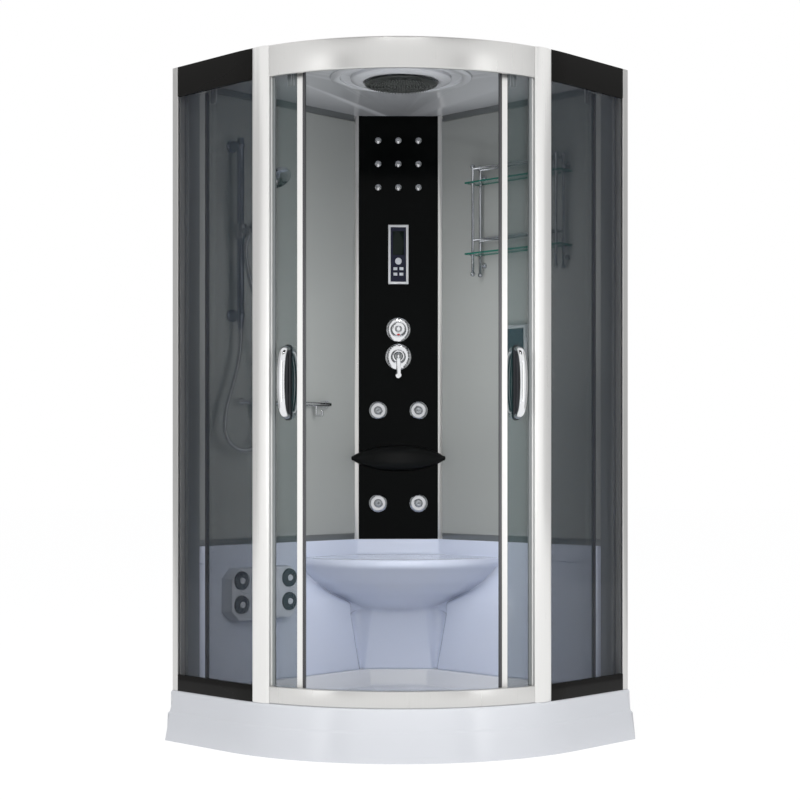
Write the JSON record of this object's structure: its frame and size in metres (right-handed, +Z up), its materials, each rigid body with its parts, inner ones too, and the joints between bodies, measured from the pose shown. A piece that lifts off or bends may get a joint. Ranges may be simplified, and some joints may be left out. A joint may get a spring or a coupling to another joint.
{
  "type": "shower cabin",
  "caption": "Quadrant corner shower cabin with curved sliding glass doors, a moulded seat, a black control column and fitted accessories.",
  "frame": {"origin": "on the floor, at the middle of the cabin's footprint box", "axes": "+Z up, -Y out of the front, the room corner towards +Y, +X to the right of someone facing the front"},
  "size_m": [1.4142, 1.1178, 2.02],
  "materials": {
    "white_acrylic": "glossy white acrylic",
    "zinc_steel": "zinc coated steel tube",
    "foot_plastic": "moulded plastic feet on threaded studs",
    "trap_plastic": "grey moulded plastic",
    "wall_glass": "pale grey-green tempered glass",
    "side_glass": "smoked tempered glass",
    "door_glass": "pale tempered glass",
    "shelf_glass": "clear tempered glass",
    "satin_aluminium": "satin anodised",
    "dark_trim": "grey anodised",
    "black_band": "glossy black",
    "black_panel": "glossy black panel",
    "chrome": "polished chrome",
    "chromed_plastic": "chrome plated plastic",
    "keypad_silver": "silver grey plastic",
    "display_black": "dark display window",
    "pad_plastic": "soft moulded black pad",
    "valve_brass": "cast and drawn brass",
    "roller_plastic": "white nylon",
    "massager_plastic": "pale moulded plastic",
    "wheel_plastic": "dark moulded plastic",
    "hose_metal": "flexible hose with a metal look"
  },
  "bodies": {
    "cabin": {"backrest_pad": "pad_plastic", "canopy": "white_acrylic", "control_panel": "black_panel", "foot_massager": "massager_plastic", "frame_rails": "satin_aluminium", "front_posts": "satin_aluminium", "jet_fittings": "chromed_plastic", "keypad_frame": "keypad_silver", "keypad_window": "display_black", "levelling_feet": "foot_plastic", "lower_moulding": "white_acrylic", "rain_disc": "chromed_plastic", "riser_rail": "chrome", "shelf_frame": "chrome", "shelf_glasses": "shelf_glass", "shower_hose": "hose_metal", "side_bands": "black_band", "side_glasses": "side_glass", "soap_box": "chromed_plastic", "towel_rail": "chrome", "tray_frame": "zinc_steel", "tray_shell": "white_acrylic", "valve_manifold": "valve_brass", "valve_plates": "chrome", "wall_glasses": "wall_glass", "wall_profiles": "satin_aluminium", "wall_trims": "dark_trim", "waste_trap": "trap_plastic"},
    "waste_grate": {"waste_grate": "chrome"},
    "diverter_knob": {"diverter_knob": "chrome"},
    "mixer_cap": {"mixer_cap": "chrome"},
    "mixer_lever": {"mixer_lever": "chrome"},
    "slider": {"slider_block": "chromed_plastic"},
    "handset": {"handset": "chromed_plastic", "holder_cup": "chromed_plastic"},
    "power_key": {"power_key": "keypad_silver"},
    "key_upper_left": {"key_upper_left": "keypad_silver"},
    "key_upper_right": {"key_upper_right": "keypad_silver"},
    "key_lower_left": {"key_lower_left": "keypad_silver"},
    "key_lower_right": {"key_lower_right": "keypad_silver"},
    "jet_nozzle_1": {"jet_nozzle_1": "chromed_plastic"},
    "massage_wheel_1": {"massage_wheel_1": "wheel_plastic"},
    "jet_nozzle_2": {"jet_nozzle_2": "chromed_plastic"},
    "massage_wheel_2": {"massage_wheel_2": "wheel_plastic"},
    "jet_nozzle_3": {"jet_nozzle_3": "chromed_plastic"},
    "massage_wheel_3": {"massage_wheel_3": "wheel_plastic"},
    "jet_nozzle_4": {"jet_nozzle_4": "chromed_plastic"},
    "massage_wheel_4": {"massage_wheel_4": "wheel_plastic"},
    "left_door": {"left_door_glass": "door_glass", "left_door_edges": "satin_aluminium", "left_door_handle": "chrome", "left_door_carriers": "trap_plastic"},
    "left_front_roller": {"left_front_roller": "roller_plastic"},
    "left_rear_roller": {"left_rear_roller": "roller_plastic"},
    "right_door": {"right_door_glass": "door_glass", "right_door_edges": "satin_aluminium", "right_door_handle": "chrome", "right_door_carriers": "trap_plastic"},
    "right_front_roller": {"right_front_roller": "roller_plastic"},
    "right_rear_roller": {"right_rear_roller": "roller_plastic"}
  },
  "joints": [
    {"name": "left_door_slide", "type": "hinge", "parent": "cabin", "child": "left_door", "pos_m": [0, 0.15598, 0], "axis": [0, 0, 1], "range_deg": [-1.6, 24.6]},
    {"name": "left_front_roller_turn", "type": "hinge", "parent": "left_door", "child": "left_front_roller", "pos_m": [-0.31827, -0.4302, 1.9583], "axis": [-0.4772, -0.8788, 0], "range_deg": [-1502, 107]},
    {"name": "left_rear_roller_turn", "type": "hinge", "parent": "left_door", "child": "left_rear_roller", "pos_m": [-0.57113, -0.18855, 1.9583], "axis": [-0.8563, -0.5165, 0], "range_deg": [-1502, 107]},
    {"name": "right_door_slide", "type": "hinge", "parent": "cabin", "child": "right_door", "pos_m": [0, 0.15598, 0], "axis": [0, 0, 1], "range_deg": [-24.6, 1.6]},
    {"name": "right_front_roller_turn", "type": "hinge", "parent": "right_door", "child": "right_front_roller", "pos_m": [0.31827, -0.4302, 1.9583], "axis": [0.4772, -0.8788, 0], "range_deg": [-107, 1502]},
    {"name": "right_rear_roller_turn", "type": "hinge", "parent": "right_door", "child": "right_rear_roller", "pos_m": [0.57113, -0.18855, 1.9583], "axis": [0.8563, -0.5165, 0], "range_deg": [-107, 1502]},
    {"name": "grate_lift", "type": "slide", "parent": "cabin", "child": "waste_grate", "axis": [0, 0, 1], "range_m": [0, 0.05]},
    {"name": "jet_1_tilt", "type": "hinge", "parent": "cabin", "child": "jet_nozzle_1", "pos_m": [-0.067, 0.36502, 1.005], "axis": [1, 0, 0], "range_deg": [-12, 12]},
    {"name": "jet_2_tilt", "type": "hinge", "parent": "cabin", "child": "jet_nozzle_2", "pos_m": [0.067, 0.36502, 1.005], "axis": [1, 0, 0], "range_deg": [-12, 12]},
    {"name": "jet_3_tilt", "type": "hinge", "parent": "cabin", "child": "jet_nozzle_3", "pos_m": [-0.067, 0.36502, 0.698], "axis": [1, 0, 0], "range_deg": [-12, 12]},
    {"name": "jet_4_tilt", "type": "hinge", "parent": "cabin", "child": "jet_nozzle_4", "pos_m": [0.067, 0.36502, 0.698], "axis": [1, 0, 0], "range_deg": [-12, 12]},
    {"name": "power_key_press", "type": "slide", "parent": "cabin", "child": "power_key", "axis": [0, 1, 0], "range_m": [0, 0.0008], "stiffness_N_per_m": 300, "springref_m": -0.0005},
    {"name": "key_upper_left_press", "type": "slide", "parent": "cabin", "child": "key_upper_left", "axis": [0, 1, 0], "range_m": [0, 0.0008], "stiffness_N_per_m": 300, "springref_m": -0.0005},
    {"name": "key_upper_right_press", "type": "slide", "parent": "cabin", "child": "key_upper_right", "axis": [0, 1, 0], "range_m": [0, 0.0008], "stiffness_N_per_m": 300, "springref_m": -0.0005},
    {"name": "key_lower_left_press", "type": "slide", "parent": "cabin", "child": "key_lower_left", "axis": [0, 1, 0], "range_m": [0, 0.0008], "stiffness_N_per_m": 300, "springref_m": -0.0005},
    {"name": "key_lower_right_press", "type": "slide", "parent": "cabin", "child": "key_lower_right", "axis": [0, 1, 0], "range_m": [0, 0.0008], "stiffness_N_per_m": 300, "springref_m": -0.0005},
    {"name": "diverter_turn", "type": "hinge", "parent": "cabin", "child": "diverter_knob", "pos_m": [0, 0.37002, 1.273], "axis": [0, -1, 0], "range_deg": [-90, 90]},
    {"name": "mixer_turn", "type": "hinge", "parent": "cabin", "child": "mixer_cap", "pos_m": [0, 0.37002, 1.183], "axis": [0, -1, 0], "range_deg": [-45, 45]},
    {"name": "mixer_lift", "type": "hinge", "parent": "mixer_cap", "child": "mixer_lever", "pos_m": [0, 0.33372, 1.183], "axis": [-1, 0, 0], "range_deg": [0, 25]},
    {"name": "slider_height", "type": "slide", "parent": "cabin", "child": "slider", "axis": [0, 0, 1], "range_m": [-0.2, 0.2], "deforming": ["shower_hose"]},
    {"name": "handset_tilt", "type": "hinge", "parent": "slider", "child": "handset", "pos_m": [-0.45255, -0.07737, 1.541], "axis": [-0.7071, -0.7071, 0], "range_deg": [-15, 15], "deforming": ["shower_hose"]},
    {"name": "massage_wheel_1_turn", "type": "hinge", "parent": "cabin", "child": "massage_wheel_1", "pos_m": [-0.34931, 0.09658, 0.471], "axis": [0.7071, -0.7071, 0], "continuous": true},
    {"name": "massage_wheel_2_turn", "type": "hinge", "parent": "cabin", "child": "massage_wheel_2", "pos_m": [-0.4879, -0.04201, 0.471], "axis": [0.7071, -0.7071, 0], "continuous": true},
    {"name": "massage_wheel_3_turn", "type": "hinge", "parent": "cabin", "child": "massage_wheel_3", "pos_m": [-0.34931, 0.09658, 0.397], "axis": [0.7071, -0.7071, 0], "continuous": true},
    {"name": "massage_wheel_4_turn", "type": "hinge", "parent": "cabin", "child": "massage_wheel_4", "pos_m": [-0.4879, -0.04201, 0.397], "axis": [0.7071, -0.7071, 0], "continuous": true}
  ],
  "couplings": [
    {"joint": "left_front_roller_turn", "follows": "left_door_slide", "ratio": -60.636},
    {"joint": "left_rear_roller_turn", "follows": "left_door_slide", "ratio": -60.636},
    {"joint": "right_front_roller_turn", "follows": "right_door_slide", "ratio": -60.636},
    {"joint": "right_rear_roller_turn", "follows": "right_door_slide", "ratio": -60.636}
  ]
}
